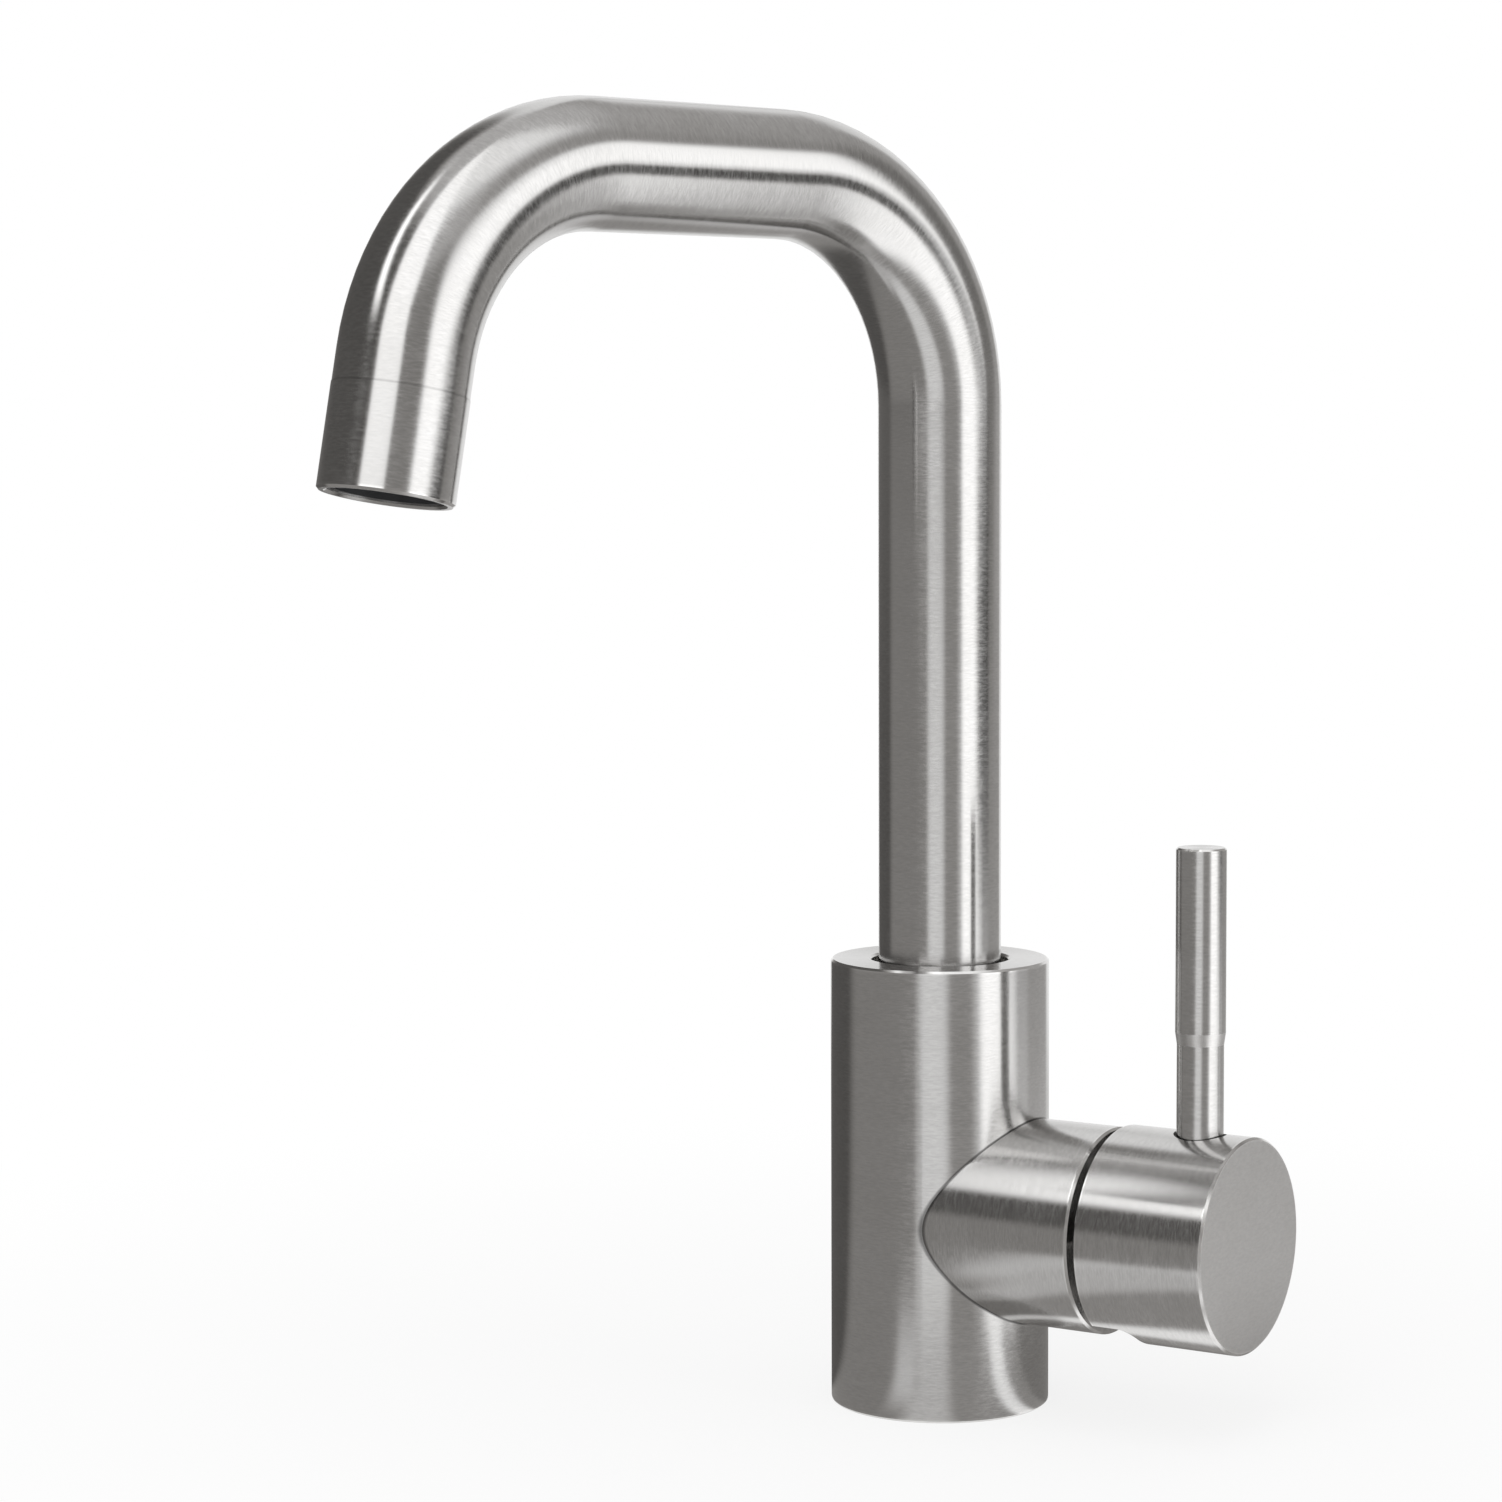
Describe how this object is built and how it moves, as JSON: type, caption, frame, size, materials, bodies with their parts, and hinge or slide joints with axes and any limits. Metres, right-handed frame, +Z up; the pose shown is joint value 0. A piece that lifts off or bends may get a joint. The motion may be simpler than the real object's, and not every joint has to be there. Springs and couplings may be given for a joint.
{
  "type": "gooseneck bar faucet",
  "caption": "Deck-mounted gooseneck bar faucet: tall round bent spout that swivels on a round column, with a side cap and upright rod lever that opens the water and sets its temperature.",
  "frame": {"origin": "centre of the column's foot, on the deck", "axes": "+Z up along the column and the spout's swivel axis; +X out along the handle's axis; the resting spout points 103.5 degrees clockwise from +X seen from above, so -Y is the side of the sink"},
  "size_m": [0.1301, 0.193, 0.2925],
  "materials": {
    "column_steel": "fine circumferential brushing",
    "spout_steel": "fine brushing round the tube",
    "outlet_steel": "fine circumferential brushing",
    "cap_steel": "fine circumferential brushing, satin end",
    "lever_steel": "fine circumferential brushing",
    "bonnet_steel": "satin",
    "stem_steel": "ground",
    "screw_steel": "dark oiled",
    "turned_brass": "turned",
    "seal_rubber": "matt black",
    "white_ceramic": "lapped and polished",
    "cartridge_plastic": "moulded",
    "carrier_plastic": "moulded",
    "glide_plastic": "moulded",
    "aerator_plastic": "moulded",
    "screen_plastic": "moulded"
  },
  "bodies": {
    "column": {"body": "column_steel", "base_seal_ring": "seal_rubber", "cartridge_base": "cartridge_plastic", "cartridge_base_seals": "seal_rubber", "cartridge_disc_seals": "seal_rubber", "fixed_ceramic_disc": "white_ceramic", "cartridge_housing": "cartridge_plastic", "cartridge_nut": "turned_brass", "bonnet_ring": "bonnet_steel", "spout_thrust_ring": "glide_plastic", "spout_glide_bush": "glide_plastic", "spout_retaining_screw": "screw_steel"},
    "spout": {"spout_tube": "spout_steel", "spout_nipple": "turned_brass", "lower_o_ring": "seal_rubber", "upper_o_ring": "seal_rubber", "outlet_sleeve": "outlet_steel", "aerator_housing": "aerator_plastic", "aerator_gasket": "seal_rubber", "aerator_screen": "screen_plastic", "aerator_insert": "aerator_plastic", "aerator_strainer": "screen_plastic"},
    "carrier": {"lever_carrier": "carrier_plastic", "pivot_pin": "stem_steel"},
    "valve_disc": {"moving_ceramic_disc": "white_ceramic", "disc_driver": "carrier_plastic"},
    "handle": {"cartridge_stem": "stem_steel", "handle_cap": "cap_steel", "handle_grub_screw": "screw_steel", "lever_rod": "lever_steel"}
  },
  "joints": [
    {"name": "spout_swivel", "type": "hinge", "parent": "column", "child": "spout", "pos_m": [0, 0, 0.0875], "axis": [0, 0, 1], "continuous": true},
    {"name": "temperature_turn", "type": "hinge", "parent": "column", "child": "carrier", "pos_m": [0, 0, 0.044], "axis": [1, 0, 0], "range_deg": [-45, 45]},
    {"name": "flow_tilt", "type": "hinge", "parent": "carrier", "child": "handle", "pos_m": [0.02612, 0, 0.044], "axis": [0, 1, 0], "range_deg": [0, 20]},
    {"name": "disc_slide", "type": "slide", "parent": "carrier", "child": "valve_disc", "axis": [0, 0, 1], "range_m": [0, 0.0037]}
  ],
  "couplings": [
    {"joint": "disc_slide", "follows": "flow_tilt", "m_per_rad": 0.0106}
  ]
}
